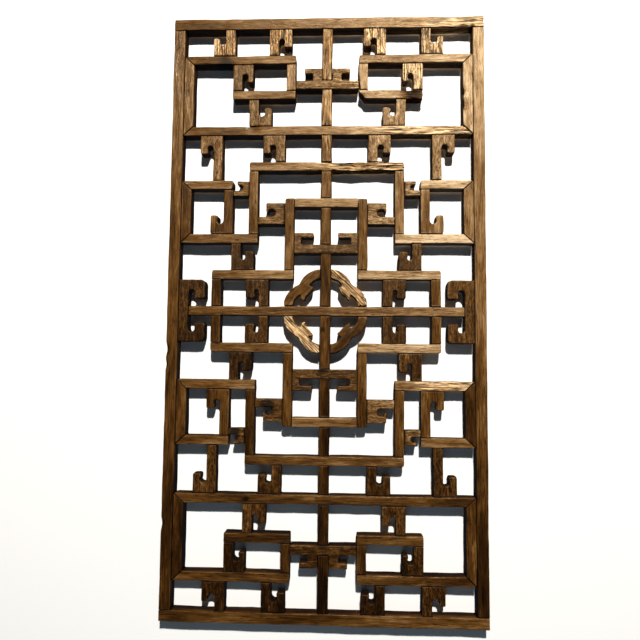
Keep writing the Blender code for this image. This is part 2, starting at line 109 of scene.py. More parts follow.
# A chip's shape: how fast it fades across, through and up, and how crisp its edge is
CHIP_FADE = (1.0, 0.45, 0.8)
CHIP_EDGE = 1.5

# Lighter towards the top; lighter to the right, partly the wood's own tone and partly a painted highlight of
# the lamp at the upper right; low down, upright pieces darker and level ones lighter; the sides of the bars
# darkened as painted shade, less so at the back and on the outer sides
TONE_BY_HEIGHT = 0.46
SIDE_TONE_AND_HIGHLIGHT = 0.38
SIDE_TONE_AND_HIGHLIGHT_MIDDLE = 0.7
SIDE_TONE_AND_HIGHLIGHT_BY_HEIGHT = 0.5
PAINTED_SIDE_SHADE = 0.75
UNSHADED_BACK = 0.8
UNSHADED_OUTER_SIDE = 0.6
LOW_UPRIGHT_TONE = -0.42
LOW_LEVEL_TONE = 0.10
CHANCE_TONE = 0.18

# Shares of the depth, from the back, between which the painted shade on the sides sets in and the back is
# left out of most of it
SIDE_SHADE_FROM, SIDE_SHADE_TO = 0.92, 0.55
BACK_FROM, BACK_TO = 0.05, 0.01
OUTER_SIDE_SKIN = 0.0012

# How dark a stain's middle gets, in tone and as a share of a seam's dirt
STAIN_TONE = -2.2
STAIN_DIRT = 0.80

# How strongly rubbed arrises show, as worn wood and partly as a painted highlight, and how often they are
# evened out
RUB_AND_HIGHLIGHT_STRENGTH = 6.0
RUB_PASSES = 3

# How far each piece's wear and its grain are shifted by chance, and the first seeds of the pieces
WEAR_SHIFT = 2
GRAIN_SHIFT = 3
WHOLE_SEED = 100
ARCH_SEED = 200
ARCH_SEED_STEP = 10
QUARTER_SEED_STEP = 1000

# Camera, as the photograph was taken
CAMERA_PLACE = (0.03574, -1.03711, -0.56063)
CAMERA_TURN = (94.4446, -0.5718, 2.4290)
CAMERA_LENS = 36.63
SENSOR_WIDTH = 36.0

# Backdrop and floor: how wide they are, how far behind and below the panel they lie, and their paint
STAGE = 6.0
BACKDROP_GAP = 0.0012
FLOOR_DROP = 1.6
BACKDROP_PAINT = ((0.95, 0.945, 0.92, 1.0), 0.9)
FLOOR_PAINT = ((0.70, 0.69, 0.67, 1.0), 0.8)

# Soft light all round, and the plain colour that the camera sees past the backdrop
SKY_COLOUR = (0.58, 0.78, 1.0, 1.0)
SKY_STRENGTH = 0.046
BEYOND_COLOUR = (0.86, 0.87, 0.88, 1.0)

LEVEL = Vector((1.0, 0.0, 0.0))
UPRIGHT = Vector((0.0, 0.0, 1.0))

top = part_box("top_rail")
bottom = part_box("bottom_rail")
CENTRE_Z = (top[1].z + bottom[0].z) / 2
HALF_HEIGHT = top[1].z - CENTRE_Z
RAIL_LOW = top[0].z - CENTRE_Z
DEPTH = top[1].y - top[0].y

# Lamps: name, place, what it points at, width, power and colour
PANEL_CENTRE = (0.0, 0.0, CENTRE_Z)
LAMPS = (
    ("key", (0.28, -2.80, CENTRE_Z + 1.83), PANEL_CENTRE, 0.16, 172.0, (1.0, 0.97, 0.93)),
    ("rear", (0.0, 3.2, CENTRE_Z + 0.7), PANEL_CENTRE, 1.0, 90.0, (1.0, 0.98, 0.95)),
    ("low", (0.0, -0.9, CENTRE_Z - 0.9), (0.0, 0.0, CENTRE_Z - 0.35), 0.6, 0.55, (0.75, 0.88, 1.0)),
)


def high(node):
    """How far up from the panel's centre a node of the frame reaches."""
    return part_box(node)[1].z - CENTRE_Z


def low(node):
    """How far up from the panel's centre a node of the frame begins."""
    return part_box(node)[0].z - CENTRE_Z


def out(node):
    """How far out to the right a node of the frame reaches."""
    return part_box(node)[1].x


# Levels and lines of the pattern, worked out from the frame
CROSS_LOW, CROSS_HIGH = low("upper_cross_rail"), high("upper_cross_rail")
CORNER_HIGH = high("upper_right_corner_strip") + HAIRLINE * math.sqrt(2)
CORNER_LOW = CORNER_HIGH - BAR
LIGHT = RAIL_LOW - CORNER_HIGH
SCROLL_HIGH = CORNER_LOW - LIGHT
SCROLL_LOW = SCROLL_HIGH - BAR
ARCH_LOW = low("upper_arch_bar")
ARCH_HIGH = ARCH_LOW + BAR
STEP_LOW, STEP_HIGH = low("upper_right_step_bar"), high("upper_right_step_bar")
BOX_HIGH = high("upper_right_box_strip") + HAIRLINE * math.sqrt(2)
BOX_LOW = BOX_HIGH - BAR
BELT_LOW = low("upper_right_belt_bar")
BELT_HIGH = BELT_LOW + BAR
EDGE = out("upper_right_corner_strip")
OUTER_SIDE = out("right_stile") - OUTER_SIDE_SKIN
INNER_POST_IN = MULLION_HALF + MESH_LIGHT
INNER_POST_OUT = INNER_POST_IN + POST
ARCH_POST_IN = INNER_POST_OUT + MESH_LIGHT
ARCH_POST_OUT = ARCH_POST_IN + POST
BOX_POST_IN = ARCH_POST_OUT + LINK
SCROLL_BAR_END = INNER_POST_IN + SCROLL_BAR_LENGTH
TOP_HOOKS_PART = INNER_POST_IN + TOP_HOOKS_PART_SET

# Pieces cut from each node of the upper right quarter: name, u from and to, v from and to, the grain's way
QUARTER_PARTS = {
    "corner_scroll": (
        ("corner_bar", INNER_POST_IN, EDGE, CORNER_LOW, CORNER_HIGH, LEVEL),
        ("corner_post", INNER_POST_IN, INNER_POST_OUT, SCROLL_HIGH, CORNER_LOW, UPRIGHT),
        ("scroll_bar", INNER_POST_IN, SCROLL_BAR_END, SCROLL_LOW, SCROLL_HIGH, LEVEL),
        ("outer_top_hook", TOP_HOOKS_PART, EDGE, CORNER_HIGH, RAIL_LOW, UPRIGHT),
        ("inner_top_hook", INNER_POST_IN, TOP_HOOKS_PART, CORNER_HIGH, RAIL_LOW, UPRIGHT),
        ("scroll_hook", INNER_POST_OUT + SCROLL_HOOK_CLEAR, SCROLL_BAR_END, SCROLL_HIGH, CORNER_LOW, UPRIGHT),
        ("low_hook", INNER_POST_IN, SCROLL_BAR_END, CROSS_HIGH, SCROLL_LOW, UPRIGHT),
    ),
    "side_box": (
        ("box_bar", BOX_POST_IN, EDGE, BOX_LOW, BOX_HIGH, LEVEL),
        ("tall_hook", BOX_POST_IN, EDGE, BOX_HIGH, CROSS_LOW, UPRIGHT),
        ("box_post", BOX_POST_IN, EDGE - BOX_POST_CLEAR, STEP_HIGH, BOX_LOW, UPRIGHT),
    ),
    "arch_post": (
        ("arch_post", ARCH_POST_IN, ARCH_POST_OUT, STEP_HIGH, ARCH_LOW, UPRIGHT),
        ("link_scroll", ARCH_POST_OUT, BOX_POST_IN, STEP_HIGH, ARCH_LOW, LEVEL),
    ),
    "inner_post": (
        ("inner_post", INNER_POST_IN, INNER_POST_OUT, BELT_HIGH, ARCH_LOW, UPRIGHT),
        ("bridge_scroll", INNER_POST_OUT, ARCH_POST_IN, BELT_HIGH, ARCH_LOW, LEVEL),
    ),
    "belt_bar": (
        ("belt_bar", INNER_POST_IN, EDGE, BELT_LOW, BELT_HIGH, LEVEL),
        ("belt_hook", INNER_POST_IN, EDGE, BELT_HIGH, STEP_LOW, UPRIGHT),
    ),
    "corner_strip": (("corner_strip", 0.0, 1.0, 0.0, 1.0, UPRIGHT),),
    "box_strip": (("box_strip", 0.0, 1.0, 0.0, 1.0, UPRIGHT),),
    "step_bar": (("step_bar", 0.0, 1.0, 0.0, 1.0, LEVEL),),
    "ring_quarter": (("ring_quarter", 0.0, 1.0, 0.0, 1.0, None),),
}

# Pieces cut from an arch bar's node, drawn for the upper one
ARCH_PARTS = (
    ("arch_bar", -ARCH_POST_OUT, ARCH_POST_OUT, ARCH_LOW, ARCH_HIGH, LEVEL),
    ("right_arch_hook", 0.0, ARCH_POST_OUT, ARCH_HIGH, CROSS_LOW, UPRIGHT),
    ("left_arch_hook", -ARCH_POST_OUT, 0.0, ARCH_HIGH, CROSS_LOW, UPRIGHT),
)

# Whole pieces that are one frame node each
WHOLE_PARTS = {
    "top_rail": LEVEL, "bottom_rail": LEVEL, "left_stile": UPRIGHT, "right_stile": UPRIGHT,
    "mullion": UPRIGHT, "centre_rail": LEVEL,
    "upper_cross_rail": LEVEL, "lower_cross_rail": LEVEL, "upper_inner_bar": LEVEL, "lower_inner_bar": LEVEL,
    "upper_head_crossbar": LEVEL, "lower_head_crossbar": LEVEL,
    "upper_inner_crossbar": LEVEL, "lower_inner_crossbar": LEVEL,
    "left_belt_post": UPRIGHT, "right_belt_post": UPRIGHT,
    "left_double_hook": UPRIGHT, "right_double_hook": UPRIGHT,
    "left_bracket": UPRIGHT, "right_bracket": UPRIGHT,
}

# Tone of each kind of piece, from -1 for dark lacquer to 1 for bare honey wood
KIND_TONES = {
    "step_bar": 0.45, "box_bar": 0.45, "belt_bar": 0.30, "box_strip": -0.10, "corner_strip": 0.10,
    "double_hook": -0.55, "bracket": -0.55, "belt_hook": -0.55, "inner_post": -0.25, "inner_crossbar": -0.20,
    "head_crossbar": -0.10, "centre_rail": 0.20, "bridge_scroll": 0.10, "link_scroll": 0.25,
    "corner_post": 0.10, "belt_post": -0.20, "inner_bar": 0.15,
}

# Tone of the pieces that stand out from their kind
PIECE_TONES = {
    "upper_right_corner_bar": 0.30, "upper_right_corner_post": 0.45, "upper_right_scroll_bar": 0.30,
    "upper_right_scroll_hook": 0.45, "upper_right_corner_strip": 0.45, "upper_left_corner_bar": -0.35,
    "upper_left_corner_strip": -0.05, "upper_left_tall_hook": 0.25, "left_stile": 0.0, "right_stile": -0.10,
    "upper_right_ring_quarter": 0.22, "lower_left_ring_quarter": 0.28,
    "upper_left_ring_quarter": -0.25, "lower_right_ring_quarter": -0.20, "mullion": -0.35,
    "upper_right_step_bar": 0.70, "upper_right_box_bar": 0.60, "upper_right_belt_bar": 0.60,
    "lower_right_belt_bar": 0.70, "lower_right_step_bar": 0.55, "upper_left_step_bar": 0.25,
    "lower_left_step_bar": 0.55, "lower_inner_bar": 0.50, "upper_inner_bar": 0.40, "top_rail": 0.05,
    "upper_arch_bar": 0.20, "upper_right_outer_top_hook": -0.20, "upper_right_inner_top_hook": -0.10,
}

# Pieces weathered into deep open grain: how deep, and between which places along the grain it sets in
WEATHERED = {
    "upper_arch_bar": (0.0085, -0.04, 0.01),
    "top_rail": (0.0032, 0.10, 0.20),
    "upper_cross_rail": (0.0032, 0.06, 0.11),
    "upper_right_scroll_bar": (0.0060, 0.110, 0.125),
    "upper_right_ring_quarter": (0.0026, -1.0, -0.9),
    "lower_left_ring_quarter": (0.0026, -1.0, -0.9),
    "lower_right_step_bar": (0.0038, 0.13, 0.16),
    "mullion": (0.0014, -0.36, -0.16),
    "upper_right_outer_top_hook": (0.0005, -0.14, -0.04),
    "upper_right_inner_top_hook": (0.0005, -0.14, -0.04),
    "upper_right_scroll_hook": (0.0004, -0.20, -0.10),
    "upper_left_inner_top_hook": (0.0004, -0.16, -0.03),
    "upper_left_outer_top_hook": (0.0004, -0.18, -0.03),
    "upper_head_crossbar": (0.0006, -0.02, 0.06),
}

# Chips: piece, u, v, radius and depth of the loss
CHIPS = (
    ("left_stile", -0.250, -0.062, 0.007, 0.0050),
    ("left_stile", -0.250, -0.085, 0.005, 0.0030),
    ("left_stile", -0.250, -0.330, 0.006, 0.0040),
    ("upper_right_corner_strip", 0.217, 0.352, 0.006, 0.0030),
    ("upper_right_corner_strip", 0.219, 0.332, 0.007, 0.0035),
    ("upper_right_scroll_bar", 0.054, 0.342, 0.006, 0.0040),
    ("lower_right_corner_bar", 0.160, -0.415, 0.012, 0.0018),
    ("upper_cross_rail", -0.120, 0.297, 0.012, 0.0015),
)

# Tips of the carved ring drawn out into curls: piece, u, v, radius, and how far across and up
CURLS = (
    ("upper_left_ring_quarter", -0.0205, 0.0360, 0.0028, 0.0006, 0.0012),
    ("upper_left_ring_quarter", -0.0350, 0.0205, 0.0040, 0.0008, -0.0038),
    ("upper_left_ring_quarter", -0.0385, 0.0215, 0.0024, -0.0022, -0.0012),
    ("upper_right_ring_quarter", 0.0205, 0.0360, 0.0028, -0.0004, 0.0014),
    ("upper_right_ring_quarter", 0.0290, 0.0290, 0.0030, -0.0014, -0.0014),
    ("upper_right_ring_quarter", 0.0355, 0.0205, 0.0035, 0.0006, -0.0030),
    ("lower_left_ring_quarter", -0.0355, -0.0205, 0.0035, 0.0006, 0.0034),
    ("lower_left_ring_quarter", -0.0345, -0.0172, 0.0022, 0.0022, 0.0000),
    ("lower_left_ring_quarter", -0.0205, -0.0360, 0.0030, 0.0010, -0.0018),
    ("lower_right_ring_quarter", 0.0355, -0.0205, 0.0035, 0.0020, 0.0026),
    ("lower_right_ring_quarter", 0.0205, -0.0360, 0.0030, -0.0012, 0.0010),
)

# Dark knots and stains: piece, u, v and radius
STAINS = (
    ("upper_right_scroll_bar", 0.138, 0.350, 0.017),
    ("upper_left_corner_bar", -0.165, 0.398, 0.012),
    ("lower_left_bridge_scroll", -0.087, -0.148, 0.008),
    ("lower_left_link_scroll", -0.139, -0.188, 0.006),
    ("lower_inner_crossbar", -0.004, -0.092, 0.006),
    ("top_rail", 0.232, 0.460, 0.004),
    ("mullion", -0.0036, -0.0290, 0.0028),
    ("lower_cross_rail", -0.119, -0.290, 0.0026),
    ("upper_right_inner_top_hook", 0.073, 0.430, 0.006),
    ("upper_right_outer_top_hook", 0.135, 0.420, 0.006),
)

# Corners that are cut or worn at a slant: piece, two places on the slant, and a place on the side that stays
SLANTS = {
    "upper_right_scroll_bar": ((0.0500, 0.3545), (0.0610, 0.3405), (0.100, 0.350)),
    "upper_right_corner_post": ((0.0500, 0.3925), (0.0545, 0.3400), (0.060, 0.400)),
    "lower_right_scroll_bar": ((0.1490, -0.3405), (0.1535, -0.3440), (0.100, -0.350)),
    "upper_left_box_bar": ((-0.1480, 0.2030), (-0.1520, 0.1930), (-0.180, 0.200)),
}


def deselect():
    """Leaves nothing selected, so that the next operator acts on its own piece alone."""
    for chosen in bpy.context.selected_objects:
        chosen.select_set(False)


def apply(piece, modifier):
    """Applies a modifier on the piece."""
    bpy.context.view_layer.objects.active = piece
    bpy.ops.object.modifier_apply(modifier=modifier.name)


def copy_of_node(node, name):
    """A copy of a frame solid, with its loose triangles merged, ready to be cut and worn."""
    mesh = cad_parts[node].data.copy()
    piece = bpy.data.objects.new(name + "_wood", mesh)
    bpy.context.scene.collection.objects.link(piece)
    mesh.materials.clear()
    deselect()
    piece.select_set(True)
    bpy.context.view_layer.objects.active = piece
    bpy.ops.object.mode_set(mode="EDIT")
    bpy.ops.mesh.select_all(action="SELECT")
    bpy.ops.mesh.remove_doubles(threshold=MERGE_DISTANCE)
    bpy.ops.mesh.dissolve_limited(angle_limit=math.radians(FLAT_ANGLE))
    bpy.ops.object.mode_set(mode="OBJECT")
    return piece


def cut_out(piece, low_corner, high_corner):
    """Keeps only what lies inside a box, less half a hairline at each of its sides."""
    inset = Vector((HAIRLINE / 2, -DEPTH, HAIRLINE / 2))
    start = Vector(low_corner) + inset
    end = Vector(high_corner) - inset
    deselect()
    bpy.ops.mesh.primitive_cube_add(size=1.0, location=(start + end) / 2, scale=end - start)
    cutter = bpy.context.object
    cut = piece.modifiers.new("seam", "BOOLEAN")
    cut.operation = "INTERSECT"
    cut.solver = "EXACT"
    cut.object = cutter
    apply(piece, cut)
    bpy.data.objects.remove(cutter)


def slant(piece, first, second, kept):
    """Cuts a corner off along a slanted line, as a plane or wear has left it."""
    run = Vector((second[0] - first[0], 0.0, second[1] - first[1]))
    normal = Vector((-run.z, 0.0, run.x)).normalized()
    towards = Vector((kept[0] - first[0], 0.0, kept[1] - first[1]))
    if normal.dot(towards) > 0:
        normal = -normal
    deselect()
    piece.select_set(True)
    bpy.context.view_layer.objects.active = piece
    bpy.ops.object.mode_set(mode="EDIT")
    bpy.ops.mesh.select_all(action="SELECT")
    bpy.ops.mesh.bisect(
        plane_co=(first[0], 0.0, CENTRE_Z + first[1]), plane_no=normal, use_fill=True, clear_outer=True)
    bpy.ops.object.mode_set(mode="OBJECT")


def noise_texture(name, depth):
    """A soft cloud pattern that the uneven faces are pushed in by."""
    texture = bpy.data.textures.new(name, "CLOUDS")
    texture.noise_scale = 1.0
    texture.noise_depth = depth
    texture.noise_basis = "BLENDER_ORIGINAL"
    return texture


ROLLING = noise_texture("rolling", 1)
GROOVES = noise_texture("grooves", 3)
guide = bpy.data.objects.new("pattern_guide", None)
bpy.context.scene.collection.objects.link(guide)


def push(piece, texture, sizes, turn, shift, depth, direction="NORMAL", middle=WORN_MIDDLE, group=""):
    """Pushes a piece's surface in and out by a pattern of given sizes along, across and through the wood."""
    guide.scale = sizes
    guide.rotation_euler = (0.0, -turn, 0.0)
    guide.location = shift
    bpy.context.view_layer.update()
    pushed = piece.modifiers.new("push", "DISPLACE")
    pushed.texture = texture
    pushed.texture_coords = "OBJECT"
    pushed.texture_coords_object = guide
    pushed.direction = direction
    pushed.mid_level = middle
    pushed.strength = depth
    pushed.vertex_group = group
    apply(piece, pushed)


def places(piece):
    """The piece's points, as an array."""
    points = np.empty(len(piece.data.vertices) * 3)
    piece.data.vertices.foreach_get("co", points)
    return points.reshape(-1, 3)


def directions(piece):
    """Which way the surface faces at each of the piece's points, as an array."""
    normals = np.empty(len(piece.data.vertices) * 3)
    piece.data.vertices.foreach_get("normal", normals)
    return normals.reshape(-1, 3)


def put_places(piece, points):
    """Moves the piece's points to the places in an array."""
    piece.data.vertices.foreach_set("co", points.ravel())
    piece.data.update()


def find_joints(pieces):
    """A search tree over all the cut pieces, and which piece each of its faces belongs to."""
    points = []
    faces = []
    owners = []
    for number, piece in enumerate(pieces):
        start = len(points)
        points += [vertex.co for vertex in piece.data.vertices]
        for face in piece.data.polygons:
            faces.append([start + corner for corner in face.vertices])
            owners.append(number)
    return BVHTree.FromPolygons(points, faces), owners


def mark_free_points(piece, number, joints):
    """Groups the points that touch no other piece, which are the ones that wear."""
    tree, owners = joints
    free = []
    for vertex in piece.data.vertices:
        near = tree.find_nearest_range(vertex.co, JOINT_REACH)
        if all(owners[found[2]] == number for found in near):
            free.append(vertex.index)
    piece.vertex_groups.new(name="free").add(free, 1.0, "REPLACE")


def grain_axes(piece_grain, name):
    """The way the grain runs, and the way across it. A ring quarter's grain follows its slant."""
    along = piece_grain
    if along is None:
        fall = -1.0 if ("upper_right" in name or "lower_left" in name) else 1.0
        along = Vector((1.0, 0.0, fall)).normalized()
    across = Vector((-along.z, 0.0, along.x))
    return along, across


def smooth_step(values, start, end):
    """Rises from 0 at start to 1 at end, for an array."""
    share = np.clip((values - start) / (end - start), 0.0, 1.0)
    return share * share * (3.0 - 2.0 * share)


def weathering(points, name, along):
    """How weathered each point is, from 0 to 1."""
    if name not in WEATHERED:
        return np.zeros(len(points))
    start, end = WEATHERED[name][1:]
    return smooth_step(points @ np.array(along), start, end)


def weather(piece, name, along, turn, shift):
    """Opens deep grain on a stretch of a piece, where the soft wood has weathered away."""
    weights = weathering(places(piece), name, along)
    group = piece.vertex_groups.new(name="weathered")
    for step in range(1, WEATHER_STEPS + 1):
        share = step / WEATHER_STEPS
        chosen = np.nonzero(np.abs(weights - share) <= 0.5 / WEATHER_STEPS)[0]
        if len(chosen):
            group.add(chosen.tolist(), share, "REPLACE")
    depth = WEATHERED[name][0]
    push(piece, GROOVES, OPEN_GRAIN_SIZES, turn, shift, depth, middle=OPEN_GRAIN_MIDDLE, group="weathered")


def chip(piece, across, up, radius, depth):
    """Breaks a small shallow flake out of the face nearest to a place."""
    points = places(piece)
    centre = np.array((across, -DEPTH, CENTRE_Z + up))
    far = np.linalg.norm((points - centre) * np.array(CHIP_FADE), axis=1)
    loss = depth * np.exp(-((far / radius) ** 2) * CHIP_EDGE)
    put_places(piece, points - directions(piece) * loss[:, None])


def draw_out(piece, across, up, radius, pull_across, pull_up):
    """Draws a tip out a little, as a carver leaves a curl."""
    points = places(piece)
    far = np.hypot(points[:, 0] - across, points[:, 2] - CENTRE_Z - up)
    share = np.exp(-((far / radius) ** 2))
    points[:, 0] += pull_across * share
    points[:, 2] += pull_up * share
    put_places(piece, points)


def bulges(piece, points):
    """How far each point stands out from its neighbours: rubbed arrises are high, inner corners low."""
    count = len(points)
    ends = np.empty(len(piece.data.edges) * 2, dtype=np.int64)
    piece.data.edges.foreach_get("vertices", ends)
    ends = ends.reshape(-1, 2)
    total = np.zeros((count, 3))
    met = np.zeros(count)
    for a, b in ((0, 1), (1, 0)):
        for axis in range(3):
            total[:, axis] += np.bincount(ends[:, a], weights=points[ends[:, b], axis], minlength=count)
        met += np.bincount(ends[:, a], minlength=count)
    met = np.maximum(met, 1)
    bulge = ((points - total / met[:, None]) * directions(piece)).sum(axis=1) / VOXEL
    for _ in range(RUB_PASSES):
        spread = np.zeros(count)
        for a, b in ((0, 1), (1, 0)):
            spread += np.bincount(ends[:, a], weights=bulge[ends[:, b]], minlength=count)
        bulge = (bulge + spread / met) / 2
    return bulge


def tones_and_painted_light_of(points, along, tone):
    """How light each point of a piece is, from the piece's own tone and from where the point lies, with
    painted shade on the sides of the bars and a partly painted highlight towards the right.
    """
    rise = (points[:, 2] - CENTRE_Z) / HALF_HEIGHT
    # Lighter to the right, more so higher up: partly the wood's own tone, partly a painted highlight of the
    # lamp at the upper right
    side = (SIDE_TONE_AND_HIGHLIGHT_MIDDLE + SIDE_TONE_AND_HIGHLIGHT_BY_HEIGHT * rise) * points[:, 0] / EDGE
    tones_and_painted_light = tone + TONE_BY_HEIGHT * rise + SIDE_TONE_AND_HIGHLIGHT * side
    upright = abs(along.z) > abs(along.x)
    tones_and_painted_light += (LOW_UPRIGHT_TONE if upright else LOW_LEVEL_TONE) * np.clip(-rise, 0.0, 1.0)
    # Painted shade: the sides of the bars darken towards the back, all but the back face and the outer sides
    # of the stiles
    painted_side_shade = smooth_step(points[:, 1], -SIDE_SHADE_FROM * DEPTH, -SIDE_SHADE_TO * DEPTH)
    unshaded_back = smooth_step(points[:, 1], -BACK_FROM * DEPTH, -BACK_TO * DEPTH)
    outer = smooth_step(np.abs(points[:, 0]), OUTER_SIDE - OUTER_SIDE_SKIN, OUTER_SIDE)
    return tones_and_painted_light - PAINTED_SIDE_SHADE * (painted_side_shade - UNSHADED_BACK * unshaded_back) * (1.0 - UNSHADED_OUTER_SIDE * outer)


def seams_of(piece, number, joints):
    """Marks the points beside another piece, where dirt gathers."""
    tree, owners = joints
    seams = np.zeros(len(piece.data.vertices))
    for vertex in piece.data.vertices:
        near = tree.find_nearest_range(vertex.co, SEAM_REACH)
        if any(owners[found[2]] != number for found in near):
            seams[vertex.index] = 1.0
    return seams


def mark_points(piece, number, joints, name, along, across, tone, rng):
    """Stores on every point its place in the grain, how rubbed it is and how much painted highlight its arris
    carries, how dirty and old it is, and how light it is with its painted shade and highlight.
    """
    points = places(piece)
    shift = np.array([rng.uniform(-GRAIN_SHIFT, GRAIN_SHIFT) for _ in range(3)])
    grain = np.stack([points @ np.array(along), points @ np.array(across), points[:, 1]], axis=1) + shift
    # Rubbed arrises lighten, partly as wear and partly as a painted highlight; inner corners darken
    rub_and_highlight = bulges(piece, points) * RUB_AND_HIGHLIGHT_STRENGTH
    tones_and_painted_light = tones_and_painted_light_of(points, along, tone)
    seams = seams_of(piece, number, joints)
    for stained, stain_across, stain_up, radius in STAINS:
        if stained == name:
            far = np.hypot(points[:, 0] - stain_across, points[:, 2] - CENTRE_Z - stain_up)
            stain = np.exp(-((far / radius) ** 2))
            seams = np.maximum(seams, STAIN_DIRT * stain)
            tones_and_painted_light += STAIN_TONE * stain
    old = weathering(points, name, along)
    for label, kind, values in (
            ("grain", "FLOAT_VECTOR", grain), ("rub_and_highlight", "FLOAT", rub_and_highlight), ("tone", "FLOAT", tones_and_painted_light),
            ("seam", "FLOAT", seams), ("old", "FLOAT", old)):
        attribute = piece.data.attributes.new(label, kind, "POINT")
        key = "vector" if kind == "FLOAT_VECTOR" else "value"
        attribute.data.foreach_set(key, np.ascontiguousarray(values, dtype=np.float32).ravel())


def wear(piece, number, joints, name, kind, piece_grain, seed):
    """Rounds one piece's arrises, makes its faces uneven, opens its grain and thins its mesh."""
    rng = random.Random(seed)
    along, across = grain_axes(piece_grain, name)
    turn = math.atan2(along.z, along.x)
    shift = [rng.uniform(-WEAR_SHIFT, WEAR_SHIFT) for _ in range(3)]
    remesh = piece.modifiers.new("surface", "REMESH")
    remesh.mode = "VOXEL"
    remesh.voxel_size = VOXEL
    remesh.use_smooth_shade = True
    apply(piece, remesh)
    mark_free_points(piece, number, joints)
    rounding = piece.modifiers.new("rounding", "SMOOTH")
    rounding.factor = ROUNDING_FACTOR
    rounding.iterations = ROUNDING_PASSES
    rounding.vertex_group = "free"
    apply(piece, rounding)
    # The whole fretwork is a little out of true, and its pieces stand a little behind each other
    push(piece, ROLLING, ACROSS_SWAY[0], 0.0, ACROSS_SWAY[1], SWAY, direction="X", middle=SWAY_MIDDLE)
    push(piece, ROLLING, UP_SWAY[0], 0.0, UP_SWAY[1], SWAY, direction="Z", middle=SWAY_MIDDLE)
    if name not in FRAME_PIECES:
        points = places(piece)
        points[:, 1] *= 1.0 - rng.uniform(0.0, SET_BACK)
        put_places(piece, points)
    push(piece, ROLLING, UNEVEN_SIZES, turn, shift, UNEVEN_DEPTH, group="free")
    push(piece, GROOVES, GROOVE_SIZES, turn, shift, GROOVE_DEPTH, group="free")
    if name in WEATHERED:
        weather(piece, name, along, turn, shift)
    for curled, *curl in CURLS:
        if curled == name:
            draw_out(piece, *curl)
    for chipped, chip_across, chip_up, radius, depth in CHIPS:
        if chipped == name:
            chip(piece, chip_across, chip_up, radius, depth)
    thin = piece.modifiers.new("thin", "DECIMATE")
    thin.ratio = KEEP_FACES
    apply(piece, thin)
    put_places(piece, np.clip(places(piece), np.array(cad_box[0]), np.array(cad_box[1])))
    piece.vertex_groups.clear()
    tone = PIECE_TONES.get(name, KIND_TONES.get(kind, 0.0)) + rng.uniform(-CHANCE_TONE, CHANCE_TONE)
    mark_points(piece, number, joints, name, along, across, tone, rng)


# The wood's patterns, by how often they come per metre along, across and through the grain
BROAD = {"sizes": (9.0, 55.0, 55.0), "detail": 3.0, "distortion": 0.5}
STREAKS = {"sizes": (34.0, 620.0, 620.0), "detail": 4.0}
CRACKS = {"sizes": (30.0, 560.0, 560.0), "detail": 2.0, "distortion": 0.4}
MOTTLE = {"detail": 5.0, "roughness": 0.7}
FLECK_DETAIL = 2.0
NOISE_RANGE = (0.32, 0.68)

# What lightens the wood, by weight, among them the painted shade and highlight in its tone and on its
# arrises, and how light it is where all of that is in the middle of its range
MIDDLE_LIGHT = 0.445
STREAK_WEIGHT = 0.24
TONE_WEIGHT = 0.34
RUB_AND_HIGHLIGHT_WEIGHT = 0.13
OLD_WEIGHT = 0.26

# Colours from dark lacquer to bare wood, then what pores, opened cracks and seams leave of them
WOOD_COLOURS = (
    (0.00, (0.0080, 0.0028, 0.0008)), (0.25, (0.0380, 0.0140, 0.0026)), (0.50, (0.1180, 0.0500, 0.0100)),
    (0.75, (0.3000, 0.1720, 0.0700)), (1.00, (0.6600, 0.4700, 0.2700)))
PORE_DEEP, PORE_RIM = (0.16, 0.13, 0.11), (0.40, 0.34, 0.29)
PORE_RIM_WIDTH = 0.14
CRACK_COLOURS = ((0.20, (0.05, 0.035, 0.025)), (0.40, (0.62, 0.57, 0.52)), (0.78, (1.75, 1.65, 1.45)))
SEAM_COLOURS = ((0.2, (1.0, 1.0, 1.0)), (1.0, (0.16, 0.13, 0.11)))
WHITE = (1.0, 1.0, 1.0)

# How much rougher or smoother each pattern makes the surface
ROUGH_MOTTLE = -0.14
ROUGH_STREAK = 0.10
ROUGH_FLECK = -0.10
ROUGH_SEAM = 0.20
ROUGH_RUB = -0.05

# Relief of the grain, and the warm shine of the lacquer
STREAK_RELIEF = 0.35
MOTTLE_RELIEF = 0.30
FLECK_RELIEF = 0.35
RIDGE_RELIEF = 1.6
BUMP_STRENGTH = 0.60
BUMP_DISTANCE = 0.0007
SHINE = 0.20
SHINE_TINT = (1.0, 0.74, 0.45, 1.0)

# Sockets of a colour mix: both colours and the result
MIX_FIRST, MIX_SECOND, MIX_RESULT = 6, 7, 2


def add_node(tree, kind, **settings):
    """Adds a shader node with its settings."""
    node = tree.nodes.new(kind)
    for key, value in settings.items():
        setattr(node, key, value)
    return node


def pattern(tree, source, sizes, detail, roughness=0.6, distortion=0.0):
    """A noise that is stretched along the grain, spread to the whole range from 0 to 1."""
    mapping = add_node(tree, "ShaderNodeMapping")
    mapping.inputs["Scale"].default_value = sizes
    noise = add_node(tree, "ShaderNodeTexNoise")
    noise.inputs["Scale"].default_value = 1.0
    noise.inputs["Detail"].default_value = detail
    noise.inputs["Roughness"].default_value = roughness
    noise.inputs["Distortion"].default_value = distortion
    spread = add_node(tree, "ShaderNodeMapRange")
    spread.inputs["From Min"].default_value = NOISE_RANGE[0]
    spread.inputs["From Max"].default_value = NOISE_RANGE[1]
    tree.links.new(source, mapping.inputs["Vector"])
    tree.links.new(mapping.outputs["Vector"], noise.inputs["Vector"])
    tree.links.new(noise.outputs["Fac"], spread.inputs["Value"])
    return spread.outputs["Result"]


